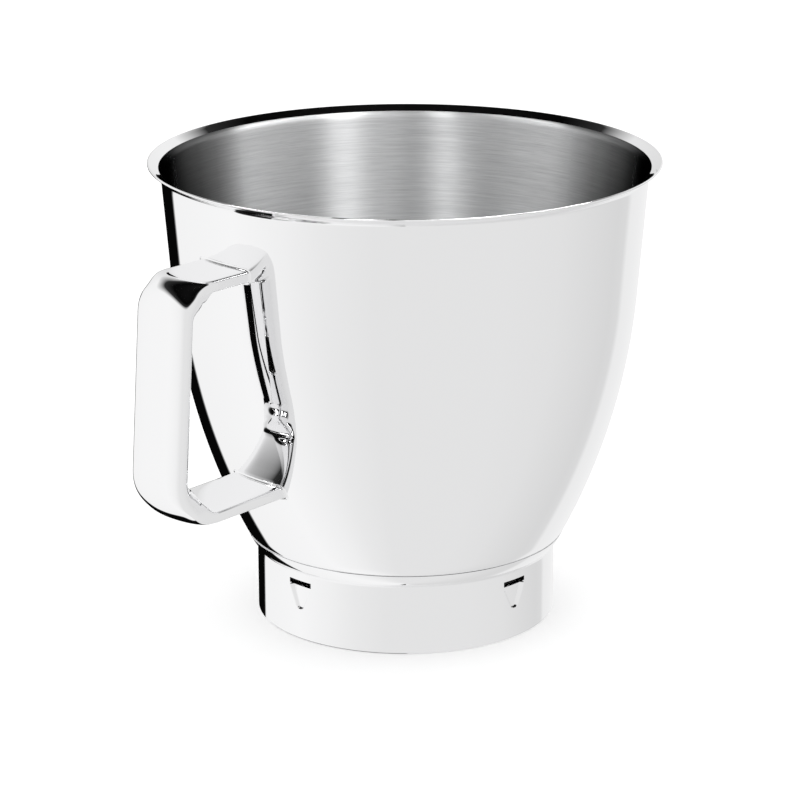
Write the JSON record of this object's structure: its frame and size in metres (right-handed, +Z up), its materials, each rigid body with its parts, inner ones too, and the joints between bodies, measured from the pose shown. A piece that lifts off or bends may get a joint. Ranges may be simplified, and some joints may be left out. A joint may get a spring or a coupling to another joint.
{
  "type": "stand mixer bowl",
  "caption": "Deep stainless steel mixing bowl with a flared lip, a welded hollow D-shaped handle and a base collar with lanced bayonet lugs.",
  "frame": {"origin": "on the bowl's axis, in the plane of the base collar's lower edge, which the bowl stands on", "axes": "+Z up along the bowl's axis; the handle points along -X"},
  "size_m": [0.2636, 0.23, 0.2109],
  "materials": {
    "polished_steel": "mirror polished stainless steel, brushed round inside the bowl",
    "collar_steel": "mirror polished stainless steel",
    "handle_steel": "mirror polished stainless steel"
  },
  "bodies": {
    "root": {"bowl": "polished_steel", "base_collar": "collar_steel", "handle": "handle_steel"}
  },
  "joints": []
}
